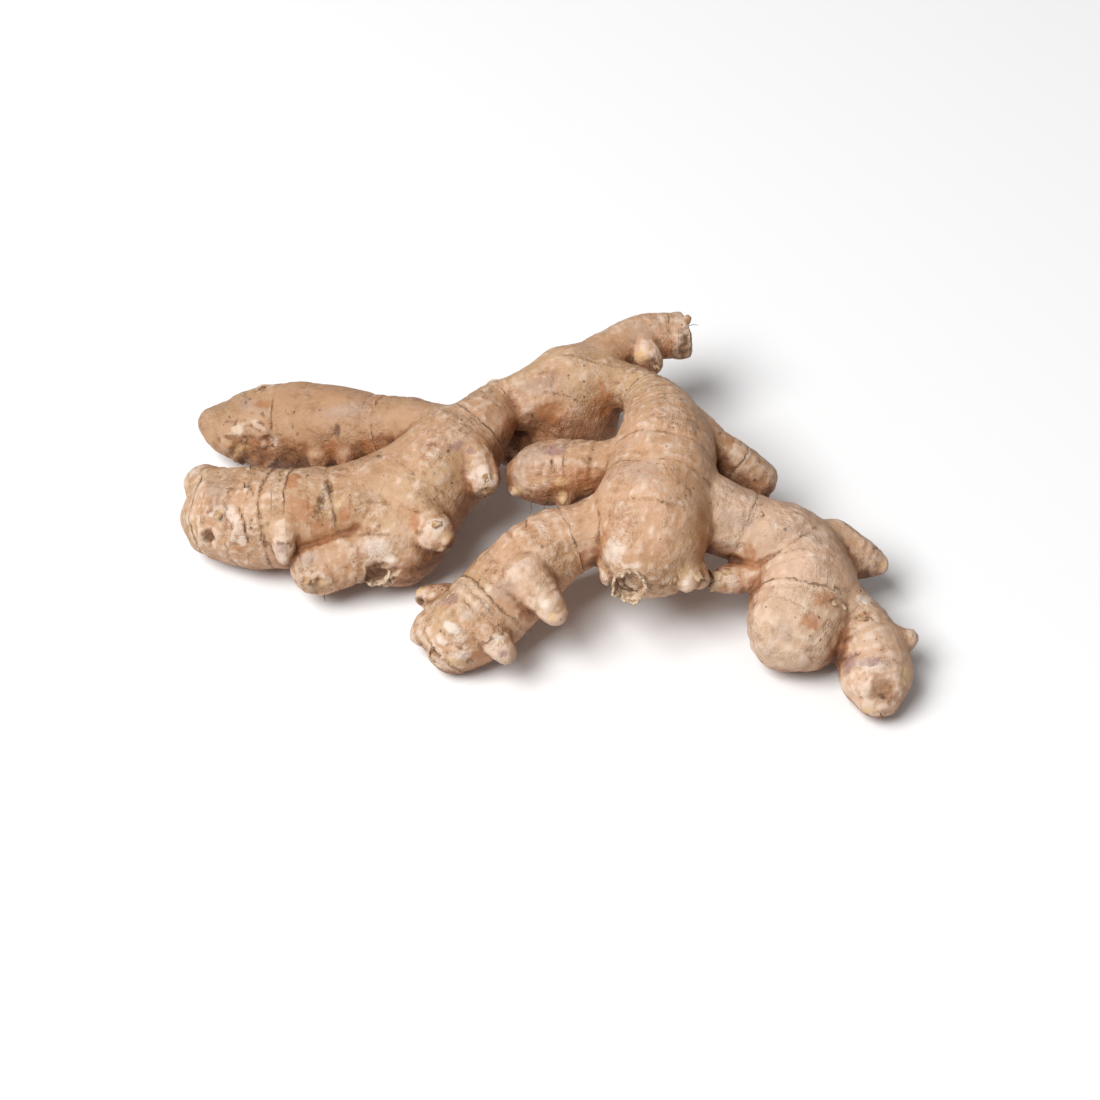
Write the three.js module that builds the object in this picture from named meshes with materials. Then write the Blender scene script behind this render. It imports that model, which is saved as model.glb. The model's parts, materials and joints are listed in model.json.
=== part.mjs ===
// A hand of fresh ginger: one rhizome, broken off its parent at the back, lying on a table.
// Every knuckle and finger of it grew as one piece, so the whole root is one solid.
// Millimetres, +Z up, +X to the right, +Y away from the viewer. The origin is on the table,
// under the middle of the root's bounding box.
import * as THREE from "three";
import { MarchingCubes } from "three/addons/objects/MarchingCubes.js";
import { mergeVertices } from "three/addons/utils/BufferGeometryUtils.js";

// Driving dimensions of the surface.
const CELL = 3.3; // edge of the grid that the skin is first drawn on
const HALF_SPAN = 112; // the grid reaches this far each way from its middle
const GRID_MIDDLE = new THREE.Vector3(-3, 15, 25);
const RELAX_PASSES = 5; // rounds that even out the corners of the skin's facets
const RELAX_STEP = 0.55; // share of the way to the middle of its neighbours, each round
const SAMPLES_PER_SPAN = 4; // steps along a finger between two of its points
const JOIN_SOFTNESS = 5; // radius of the smooth web where a stout finger leaves its parent
const JOIN_SHARE = 0.45; // the web of a slimmer one, as a share of its own radius
const CREASE_SOFTNESS = 1.2; // the tighter fold where two fingers press together
const BREAK_SOFTNESS = 1; // rounding of the edge of the broken end
const SCAR_SOFTNESS = 1.5; // rounding of the rim of a stem scar
const SPAN_BLEND = 1.2; // spans about this much further off than the nearest still count
const FAR = 10; // beyond this a finger's distance need not be exact
const RING_DEPTH = 1; // groove of the leaf scar that rings a finger
const RING_WIDTH = 1.3;
const RING_SWELL = 0.5; // how far the skin swells out between two rings
const FULL_RELIEF_RADIUS = 11; // slimmer fingers have rings that are shallower in proportion
const RING_WOBBLE = 1.1; // how far a ring strays along its finger
const RING_CATCH = 1.4; // corners this near to a ring are drawn towards it
const RING_PULL = 0.6; // share of the way that they go, each round
const RING_CLEARANCE = 3; // where two fingers' skins are this close, rings are left as they come
const WIDE_LUMP = 0.5; // height of the broad unevenness of the whole root
const FINE_LUMP = 0.22; // and of the finer one on top of it
const SLOPE_PROBE = 0.05; // step over which the slope of the distance is measured
const LEAST_SLOPE = 0.25; // squared: flatter places are treated as this steep
const LONGEST_STEP = 1; // no corner moves further than this towards the skin in one round
const MOST_FACETS = 60000; // of the first mesh, drawn on the grid
const WELD = 1e-3; // corners closer than this are one
const TABLE_HEIGHT = 0;
const ORIGIN = new THREE.Vector3(-3, 16.6, TABLE_HEIGHT); // under the middle of the root
const SKIN_COLOUR = 0xc49a6c;
const SKIN_ROUGHNESS = 0.62;

// The fingers, each named, with the finger it grows from, its leaf scars as lengths along it,
// and the points of its middle line: x, y, height and radius there.
const FINGERS = [
  { name: "shoulder", from: null, rings: [],
    line: [[13.5, 55, 28, 8.6], [6.5, 55, 27, 10.6], [-0.5, 52, 27, 9.4], [-7, 49, 27, 7.4]] },
  { name: "stump", from: "shoulder", rings: [25, 29.5],
    line: [[13.5, 60, 28, 9], [18.5, 66, 29, 7.5], [26, 71, 30, 6.3], [32.5, 72, 30, 6.3],
      [41, 72.5, 30, 6.6]] },
  { name: "lobe", from: "shoulder", rings: [4, 12.5, 18.5, 26, 32],
    line: [[15, 62, 28, 7.5], [8.5, 55.5, 26, 10.8], [6, 53, 21, 13.7], [4, 51.5, 13.4, 14.1]] },
  { name: "left_branch", from: "shoulder", rings: [12, 26, 47, 56, 63],
    line: [[-3, 50.5, 27, 7.4], [-14, 48, 27, 6.2], [-19.5, 40, 26.5, 8.4],
      [-26.5, 31.5, 25, 11.8], [-34, 21, 22, 12.8], [-41, 12, 17, 12.8],
      [-43.5, 10, 12.6, 12.6]] },
  { name: "toe", from: "left_branch", rings: [11, 18, 23.5],
    line: [[-43.5, 7.5, 16, 7.8], [-55, 3, 14, 7.9], [-64.5, 0, 12, 7.2]] },
  { name: "left_middle", from: "left_branch", rings: [25, 37, 43.5, 50, 58],
    line: [[-36.5, 24.5, 22, 11], [-53, 17, 20, 11], [-68, 15.5, 17, 12.3],
      [-81.5, 16, 14.5, 13.4], [-90.5, 18, 12.5, 12]] },
  { name: "left_middle_heel", from: "left_middle", rings: [8],
    line: [[-89, 21.5, 16, 8.4], [-97.5, 28, 15, 6.2]] },
  { name: "left_upper", from: "left_branch", rings: [20, 24, 28, 46, 54, 62],
    line: [[-26.5, 36, 25, 8.8], [-41, 43, 22, 8.6], [-56.5, 47, 18, 10.8],
      [-72, 51.5, 13.6, 12.2], [-83, 52.5, 12.4, 10.8], [-90, 52.5, 12, 8.2], [-97, 54.5, 12, 4.2]] },
  { name: "trunk", from: "shoulder", rings: [19, 33, 47, 55.5, 66, 74],
    line: [[13.5, 56.5, 28, 7.4], [25, 49.5, 31, 5.9], [30, 38, 33, 8.9], [31.5, 24, 34, 12.7],
      [29.5, 10.5, 33, 14.4], [27.5, 0.5, 30, 15.4], [26.5, -4.5, 27, 13.5]] },
  { name: "left_finger", from: "trunk", rings: [12, 20, 28, 33],
    line: [[25, 19.5, 31, 9.9], [15.5, 20.5, 30, 7.4], [6, 22, 28, 8.3], [-2, 22, 27, 8],
      [-5, 22, 26, 6.7]] },
  { name: "right_nub", from: "trunk", rings: [11, 16, 21, 25],
    line: [[39, 31.5, 32, 7.5], [46.5, 28, 30, 5.8], [53.5, 24.5, 26, 6.1], [57.5, 23, 23, 5.6]] },
  { name: "left_arm", from: "trunk", rings: [16.5, 30, 44, 49, 58, 64],
    line: [[21.5, 2, 30, 10.3], [10.5, 0, 27, 8.4], [-0.5, -3.5, 24, 9.7],
      [-11, -11.5, 18.5, 10.8], [-19.5, -18.5, 13.5, 10.8], [-24.6, -21.3, 9.3, 9.6]] },
  { name: "right_arm", from: "trunk", rings: [20.5, 38.5, 50, 60, 66],
    line: [[33, 9.5, 30, 10.4], [44, 6, 28, 9.8], [55, 3, 25, 9.4], [65, -1, 21, 11.5],
      [69, -9, 17.5, 13.4], [68, -17, 14.5, 13.7], [66.5, -20.5, 13.5, 13]] },
  { name: "end_finger", from: "right_arm", rings: [11, 18.5, 24.5, 31, 36],
    line: [[73.5, -13, 16, 9], [82, -19, 14, 7.5], [86.5, -26.5, 11, 9.2],
      [88, -34.5, 9, 9.3], [88, -38.5, 8, 7.2]] },
  { name: "branch_nub_high", from: "left_branch", rings: [6, 11.5],
    line: [[-24.5, 30.5, 28.6, 6.6], [-20.4, 22.8, 29.3, 5.8], [-18.7, 18.6, 28, 5.2]] },
  { name: "branch_nub_low", from: "left_branch", rings: [5, 9],
    line: [[-36, 8.5, 25, 6.4], [-32, 3, 25, 5.2], [-29.5, 1, 24, 3.8]] },
  { name: "mid_bud", from: "left_middle", rings: [4],
    line: [[-73, 6, 22.5, 4.1], [-73, 1.5, 19.5, 3], [-73, 0, 17, 2.2]] },
  { name: "mid_knob", from: "left_middle", rings: [4],
    line: [[-96.5, 19, 14, 3.9], [-101, 17.5, 13, 2.5]] },
  { name: "upper_bud_a", from: "left_upper", rings: [3],
    line: [[-65.5, 42, 17.5, 4.2], [-65.5, 38, 16.5, 3.6], [-65.5, 36.4, 16, 2.9]] },
  { name: "upper_bud_b", from: "left_upper", rings: [3],
    line: [[-57.5, 39.5, 19.5, 4.2], [-57.5, 36.2, 18.5, 3.6], [-57.5, 34.6, 18, 2.9]] },
  { name: "upper_chip", from: "left_upper", rings: [],
    line: [[-79, 55.5, 19, 4.6], [-82.5, 58.5, 21, 2.6]] },
  { name: "finger_bud", from: "left_finger", rings: [],
    line: [[4.3, 17.8, 27.5, 3.8], [4.3, 14.2, 26, 2.9], [4.3, 12.2, 25.2, 1.9]] },
  { name: "finger_tip_bud", from: "left_finger", rings: [],
    line: [[-7, 19.5, 26, 3], [-9.5, 17.5, 25, 2.2]] },
  { name: "trunk_bud", from: "trunk", rings: [3],
    line: [[34, -10, 27.5, 5.6], [36, -13.5, 27, 4.2], [36.8, -15.5, 25.6, 2.8]] },
  { name: "trunk_scale", from: "trunk", rings: [],
    line: [[38, -10.5, 26, 3.8], [40.5, -13.5, 24, 2.5]] },
  { name: "trunk_spike", from: "trunk", rings: [],
    line: [[15.5, -10.5, 26, 3.2], [15, -14.5, 24, 2]] },
  { name: "arm_nub", from: "left_arm", rings: [7.5, 12],
    line: [[-6.5, -15.5, 26.5, 6.2], [-1, -21, 24, 4.8], [1.5, -24, 22, 3.5]] },
  { name: "arm_nub_low", from: "left_arm", rings: [4],
    line: [[-17, -25.5, 17.5, 4.5], [-13.5, -29.5, 15.5, 4], [-12, -31, 14, 3.4]] },
  { name: "arm_bud_back", from: "left_arm", rings: [],
    line: [[-28, -10.5, 11, 4.8], [-32, -8.7, 10, 3.8], [-34, -8.2, 10, 3]] },
  { name: "arm_bulge", from: "left_arm", rings: [],
    line: [[-30.6, -18.5, 10, 6], [-34.8, -20.2, 8.5, 3.2]] },
  { name: "right_spur", from: "right_arm", rings: [4],
    line: [[56, -9, 20, 4.6], [49.5, -9.5, 19, 4.4], [45, -10, 18, 2.3]] },
  { name: "right_prong", from: "right_arm", rings: [10],
    line: [[76.5, 2.5, 18, 7.5], [84.5, 0.5, 16, 5.7], [90.5, -1, 15, 2.7]] },
  { name: "end_nub", from: "end_finger", rings: [],
    line: [[90.5, -25, 13.5, 4.2], [96, -25.6, 12.8, 3.2]] },
  { name: "stump_nub", from: "stump", rings: [3],
    line: [[26.5, 66.8, 30.5, 5], [26.9, 64, 31.2, 4.8], [28.2, 62, 29.6, 4.4]] },
  { name: "lobe_knob", from: "lobe", rings: [5],
    line: [[-5.5, 47.5, 15.5, 6.3], [-9.5, 44.5, 13, 4.3], [-11.5, 43, 10.5, 2.9]] },
  // Buds on the far side and underneath.
  { name: "branch_bud_back", from: "left_branch", rings: [3],
    line: [[-15, 55, 22, 4.4], [-15.5, 59.5, 20, 3.4], [-15.5, 62, 19, 2.4]] },
  { name: "trunk_bud_under", from: "trunk", rings: [4],
    line: [[29, 20, 23, 6], [28, 19, 17, 4.6], [27.5, 18.5, 14, 3]] },
  { name: "right_bud_back", from: "right_arm", rings: [3],
    line: [[58, 10, 21, 4.6], [60, 14.5, 19, 3.5], [61, 17, 18, 2.4]] },
  { name: "middle_bud_under", from: "left_middle", rings: [],
    line: [[-58, 20, 11, 4.4], [-57, 21, 7, 3]] },
];

// Where the root was snapped off its parent: the stump ends in this plane.
const BREAK_POINT = new THREE.Vector3(39.5, 72.5, 30);
const BREAK_NORMAL = new THREE.Vector3(0.96, 0.22, 0.08).normalize();
// Scars of old stems: shallow round dents, as centre and radius of the ball that dents the skin.
const STEM_SCARS = [
  { centre: [21.5, -20.5, 24.5], radius: 5.3 }, // the open one at the trunk's end
  { centre: [-48.7, -4.8, 15], radius: 5 }, // at the left branch's end
  { centre: [-95.2, 5.2, 17.5], radius: 3.6 }, // at the left middle finger's end
  { centre: [-92.3, 39.5, 22.4], radius: 9 }, // the wide one at the left upper finger's end
  { centre: [-29.9, -32.3, 14.6], radius: 3.4 }, // at the left arm's end
];

// A finger's middle line as evenly indexed samples of position, radius and length so far.
function sampleLine(finger) {
  const path = new THREE.CatmullRomCurve3(
    finger.line.map(([x, y, z]) => new THREE.Vector3(x, y, z)), false, "catmullrom");
  const girth = new THREE.CatmullRomCurve3(
    finger.line.map((point) => new THREE.Vector3(point[3], 0, 0)), false, "catmullrom");
  const count = (finger.line.length - 1) * SAMPLES_PER_SPAN;
  const samples = [];
  let length = 0;
  for (let i = 0; i <= count; i++) {
    const at = path.getPoint(i / count);
    if (i > 0) length += at.distanceTo(samples[i - 1].at);
    samples.push({ at, radius: girth.getPoint(i / count).x, length });
  }
  return samples;
}

// A ball round the whole finger, to pass over it quickly when it is far away.
function boundingBall(samples) {
  const centre = samples[0].at.clone().lerp(samples[samples.length - 1].at, 0.5);
  const radius = Math.max(...samples.map(({ at, radius }) => at.distanceTo(centre) + radius));
  return { centre, radius };
}

const fingers = FINGERS.map((finger) => {
  const samples = sampleLine(finger);
  const tip = samples[samples.length - 1].at;
  return {
    name: finger.name,
    parent: FINGERS.findIndex(({ name }) => name === finger.from),
    rings: finger.rings,
    samples,
    web: Math.min(JOIN_SOFTNESS, JOIN_SHARE * Math.max(...samples.map(({ radius }) => radius))),
    ball: boundingBall(samples),
    tip,
    tipHeading: tip.clone().sub(samples[samples.length - 2].at).normalize(),
  };
});

// Where a point lies beside a finger: its distance from the plain finger, the radius there, and
// its length along the finger, which is a mean over the spans that are about as near as the
// nearest one, so that it changes smoothly where the finger bends.
function besideFinger({ samples, tip, tipHeading }, p) {
  const pastTip = p.clone().sub(tip).dot(tipHeading);
  const spans = [];
  let nearest = { distance: Infinity };
  for (let i = 1; i < samples.length; i++) {
    const a = samples[i - 1];
    const b = samples[i];
    const bx = b.at.x - a.at.x, by = b.at.y - a.at.y, bz = b.at.z - a.at.z;
    const px = p.x - a.at.x, py = p.y - a.at.y, pz = p.z - a.at.z;
    const t = Math.min(1, Math.max(0, (px * bx + py * by + pz * bz) / (bx * bx + by * by + bz * bz)));
    const radius = a.radius + (b.radius - a.radius) * t;
    const distance = Math.hypot(px - t * bx, py - t * by, pz - t * bz) - radius;
    let length = a.length + (b.length - a.length) * t;
    if (t === 1 && i === samples.length - 1) length += pastTip;
    spans.push({ distance, radius, length, end: i });
    if (distance < nearest.distance) nearest = spans[i - 1];
  }
  let total = 0;
  let weighted = 0;
  for (const span of spans) {
    const weight = Math.exp((nearest.distance - span.distance) / SPAN_BLEND);
    total += weight;
    weighted += weight * span.length;
  }
  return { ...nearest, length: weighted / total };
}

// How far the rings stray along the finger here, so that no ring is a flat circle.
function ringStray({ x, y, z }) {
  return RING_WOBBLE * Math.sin(x / 7 + z / 9) * Math.sin(y / 8 - z / 6);
}

// How far the skin stands in or out of the plain finger at a length along it.
function ringRelief(rings, length) {
  let relief = 0;
  for (let i = 0; i < rings.length; i++) {
    const off = (length - rings[i]) / RING_WIDTH;
    relief -= RING_DEPTH * Math.exp(-off * off);
    if (i > 0 && length > rings[i - 1] && length < rings[i])
      relief += RING_SWELL * Math.sin((Math.PI * (length - rings[i - 1])) / (rings[i] - rings[i - 1]));
  }
  return relief;
}

// Signed distance from a point to one finger's skin.
function fingerDistance(finger, p) {
  const toBall = p.distanceTo(finger.ball.centre) - finger.ball.radius;
  if (toBall > FAR) return toBall;
  const { distance, length, radius } = besideFinger(finger, p);
  const relief = ringRelief(finger.rings, length + ringStray(p));
  const skin = distance - relief * Math.min(1, radius / FULL_RELIEF_RADIUS);
  if (finger.name !== "stump") return skin;
  const beyondBreak = p.clone().sub(BREAK_POINT).dot(BREAK_NORMAL);
  return -softUnion(-skin, -beyondBreak, BREAK_SOFTNESS);
}

// Two surfaces joined with a smooth web of the given softness.
function softUnion(a, b, softness) {
  const overlap = Math.max(softness - Math.abs(a - b), 0) / softness;
  return Math.min(a, b) - overlap * overlap * softness * 0.25;
}

// Unevenness of the whole root: crossed waves, bent so that they don't line up.
function lumps({ x, y, z }) {
  const wideAcross = Math.sin(x / 6.1 + 1.3 * Math.sin(y / 8.3));
  const wideAlong = Math.sin(y / 6.7 + 1.1 * Math.sin(z / 7.9));
  const fineAcross = Math.sin(x / 2.9 + 2 + Math.sin(z / 3.7));
  const fineAlong = Math.sin(y / 3.1 + z / 2.7);
  return WIDE_LUMP * wideAcross * wideAlong + FINE_LUMP * fineAcross * fineAlong;
}

// Signed distance from a point to the root's skin.
function rootDistance(p) {
  const distances = fingers.map((finger) => fingerDistance(finger, p));
  let whole = distances[0];
  for (let i = 1; i < fingers.length; i++) {
    const joined = softUnion(distances[i], distances[fingers[i].parent], fingers[i].web);
    whole = softUnion(whole, joined, CREASE_SOFTNESS);
  }
  whole -= lumps(p);
  for (const { centre, radius } of STEM_SCARS) {
    const dent = Math.hypot(p.x - centre[0], p.y - centre[1], p.z - centre[2]) - radius;
    whole = -softUnion(-whole, dent, SCAR_SOFTNESS);
  }
  return whole;
}

// The skin as a first, uneven mesh, drawn on the grid.
function drawOnGrid() {
  const size = Math.round((2 * HALF_SPAN) / CELL);
  const cubes = new MarchingCubes(size, undefined, false, false, MOST_FACETS);
  cubes.isolation = 0;
  const p = new THREE.Vector3();
  for (let k = 0, q = 0; k < size; k++)
    for (let j = 0; j < size; j++)
      for (let i = 0; i < size; i++, q++) {
        p.set(i, j, k).multiplyScalar((2 * HALF_SPAN) / size).subScalar(HALF_SPAN).add(GRID_MIDDLE);
        cubes.field[q] = -rootDistance(p);
      }
  cubes.update();
  const corners = cubes.positionArray.slice(0, cubes.count * 3);
  const loose = new THREE.BufferGeometry();
  loose.setAttribute("position", new THREE.BufferAttribute(corners, 3));
  loose.scale(HALF_SPAN, HALF_SPAN, HALF_SPAN);
  loose.translate(GRID_MIDDLE.x, GRID_MIDDLE.y, GRID_MIDDLE.z);
  return mergeVertices(loose, WELD);
}

// For every corner of a mesh, the corners that share an edge with it.
function neighboursOf(mesh) {
  const neighbours = Array.from({ length: mesh.attributes.position.count }, () => new Set());
  const index = mesh.index.array;
  for (let i = 0; i < index.length; i += 3)
    for (let edge = 0; edge < 3; edge++) {
      const a = index[i + edge];
      const b = index[i + ((edge + 1) % 3)];
      neighbours[a].add(b);
      neighbours[b].add(a);
    }
  return neighbours;
}

// Moves a point straight towards the skin, along the slope of the distance.
function pullOntoSkin(p) {
  const probe = p.clone();
  const here = rootDistance(p);
  const slope = new THREE.Vector3();
  for (const axis of ["x", "y", "z"]) {
    probe[axis] += SLOPE_PROBE;
    slope[axis] = (rootDistance(probe) - here) / SLOPE_PROBE;
    probe[axis] = p[axis];
  }
  const step = -here / Math.max(slope.lengthSq(), LEAST_SLOPE);
  return p.addScaledVector(slope, THREE.MathUtils.clamp(step, -LONGEST_STEP, LONGEST_STEP));
}

// Moves a point that lies beside a ring along its finger and onto the ring.
function pullOntoRing(p) {
  const close = fingers
    .filter(({ ball }) => p.distanceTo(ball.centre) - ball.radius < RING_CLEARANCE)
    .map((finger) => ({ finger, place: besideFinger(finger, p) }))
    .filter(({ place }) => place.distance < RING_CLEARANCE);
  if (close.length !== 1) return p;
  const { finger, place } = close[0];
  const length = place.length + ringStray(p);
  const off = finger.rings.map((ring) => ring - length).find((gap) => Math.abs(gap) < RING_CATCH);
  if (off === undefined) return p;
  const { samples } = finger;
  const heading = samples[place.end].at.clone().sub(samples[place.end - 1].at).normalize();
  return p.addScaledVector(heading, off * RING_PULL);
}

// Evens out the facets, with a row of corners in each ring's groove, and every corner on the skin.
function relax(mesh) {
  const neighbours = neighboursOf(mesh);
  const corners = mesh.attributes.position;
  let points = neighbours.map((_, i) => new THREE.Vector3().fromBufferAttribute(corners, i));
  for (let pass = 0; pass < RELAX_PASSES; pass++)
    points = points.map((point, i) => {
      const middle = new THREE.Vector3();
      for (const j of neighbours[i]) middle.addScaledVector(points[j], 1 / neighbours[i].size);
      return pullOntoSkin(pullOntoRing(point.clone().lerp(middle, RELAX_STEP)));
    });
  points.forEach((point, i) => corners.setXYZ(i, point.x, point.y, point.z));
}

// Presses the lowest knuckles flat where they rest on the table.
function pressFlat(mesh) {
  const corners = mesh.attributes.position;
  for (let i = 0; i < corners.count; i++) corners.setZ(i, Math.max(TABLE_HEIGHT, corners.getZ(i)));
}

const geometry = drawOnGrid();
relax(geometry);
pressFlat(geometry);
geometry.translate(-ORIGIN.x, -ORIGIN.y, -ORIGIN.z);

const skin = new THREE.MeshStandardMaterial({ color: SKIN_COLOUR, roughness: SKIN_ROUGHNESS });
const rhizome = new THREE.Mesh(geometry, skin);
rhizome.name = "rhizome";
const root = new THREE.Group();
root.add(rhizome);
export default root;
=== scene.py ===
"""A hand of fresh ginger, lying on a pale table in soft daylight."""
import json
import math

import bpy
import numpy as np
from mathutils import Matrix, Vector, noise
from mathutils.bvhtree import BVHTree

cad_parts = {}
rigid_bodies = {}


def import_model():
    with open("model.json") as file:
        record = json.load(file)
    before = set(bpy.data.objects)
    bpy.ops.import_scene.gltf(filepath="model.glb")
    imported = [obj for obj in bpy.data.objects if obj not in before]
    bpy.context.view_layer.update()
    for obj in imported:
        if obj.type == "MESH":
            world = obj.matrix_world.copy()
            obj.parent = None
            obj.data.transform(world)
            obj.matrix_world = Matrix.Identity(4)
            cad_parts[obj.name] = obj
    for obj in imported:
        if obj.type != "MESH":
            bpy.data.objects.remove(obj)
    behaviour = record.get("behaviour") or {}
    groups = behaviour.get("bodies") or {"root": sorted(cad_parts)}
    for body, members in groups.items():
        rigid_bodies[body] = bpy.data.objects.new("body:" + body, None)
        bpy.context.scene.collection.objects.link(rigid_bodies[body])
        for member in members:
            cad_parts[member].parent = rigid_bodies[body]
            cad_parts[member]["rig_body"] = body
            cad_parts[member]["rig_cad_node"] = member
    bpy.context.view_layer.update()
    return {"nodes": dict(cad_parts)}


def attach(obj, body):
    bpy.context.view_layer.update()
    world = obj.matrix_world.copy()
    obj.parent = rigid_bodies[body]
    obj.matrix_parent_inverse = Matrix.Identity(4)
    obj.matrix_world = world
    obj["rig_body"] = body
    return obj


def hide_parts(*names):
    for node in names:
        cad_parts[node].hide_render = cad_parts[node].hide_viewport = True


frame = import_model()

# The view: the photograph looks down on the root at 50 degrees from in front, through a long
# lens. A place on the root is given below by the pixel of the 1100 by 1100 photograph where
# it shows, and on_skin finds it on the solid, so what is put there sits on the root.
PHOTO_SIDE = 1100
LOOK_AT = Vector((0.003, -0.0166, 0.020))
LOOK_DOWN = math.radians(50)
DISTANCE = 0.711
LENS, SENSOR = 85, 36
MM_PER_METRE = 1000
bpy.ops.object.select_all(action="DESELECT")
toward_eye = Vector((0, -math.cos(LOOK_DOWN), math.sin(LOOK_DOWN)))
eye = LOOK_AT + DISTANCE * toward_eye
bpy.ops.object.camera_add(location=eye, rotation=(math.pi / 2 - LOOK_DOWN, 0, 0))
camera = bpy.context.object
camera.name = "camera"
camera.data.lens = LENS
camera.data.sensor_width = camera.data.sensor_height = SENSOR
camera.data.sensor_fit = "HORIZONTAL"
camera.data.clip_start = 0.01
bpy.context.scene.camera = camera
image_right = Vector((1, 0, 0))
image_up = toward_eye.cross(image_right)

cad_skin = frame["nodes"]["rhizome"]
solid = BVHTree.FromPolygons(
    [v.co.copy() for v in cad_skin.data.vertices],
    [tuple(p.vertices) for p in cad_skin.data.polygons],
)


def seen_at(u, v, surface):
    """Where the ray through a pixel of the photograph meets a surface, and the way out there."""
    x, y = (u / PHOTO_SIDE - 0.5) * SENSOR / LENS, (0.5 - v / PHOTO_SIDE) * SENSOR / LENS
    ray = (-toward_eye + x * image_right + y * image_up).normalized()
    hit, way_out = surface.ray_cast(eye, ray)[:2]
    if hit is None:  # just past the outline: the nearest place on it
        hit, way_out = surface.find_nearest(eye + ray * DISTANCE)[:2]
    return hit, way_out


def on_skin(u, v):
    """Where a pixel of the photograph meets the solid, in mm."""
    return np.array(seen_at(u, v, solid)[0]) * MM_PER_METRE


# The rhizome: a ginger plant's swollen underground stem, whose knuckles, fingers and buds all
# grew as one piece. Its papery skin carries a ring wherever a leaf once sat. The skin of the
# solid is meshed finely here and settled on the fingers' smooth forms, with finer wrinkles.
FACET = 0.00078  # metres
SAMPLES_PER_SPAN = 4
JOIN_SOFTNESS, CREASE_SOFTNESS, BREAK_SOFTNESS = 5, 1.2, 1  # mm, where no unit is given
JOIN_SHARE = 0.45
SPAN_BLEND, FAR = 1.2, 10
RING_DEPTH, RING_WIDTH, RING_SWELL, RING_WOBBLE = 0.22, 0.7, 0.2, 1.1
FULL_RELIEF_RADIUS = 11
WIDE_LUMP, FINE_LUMP = 0.5, 0.22
TABLE_TO_PART = np.array([3, -16.6, 0])

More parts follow.
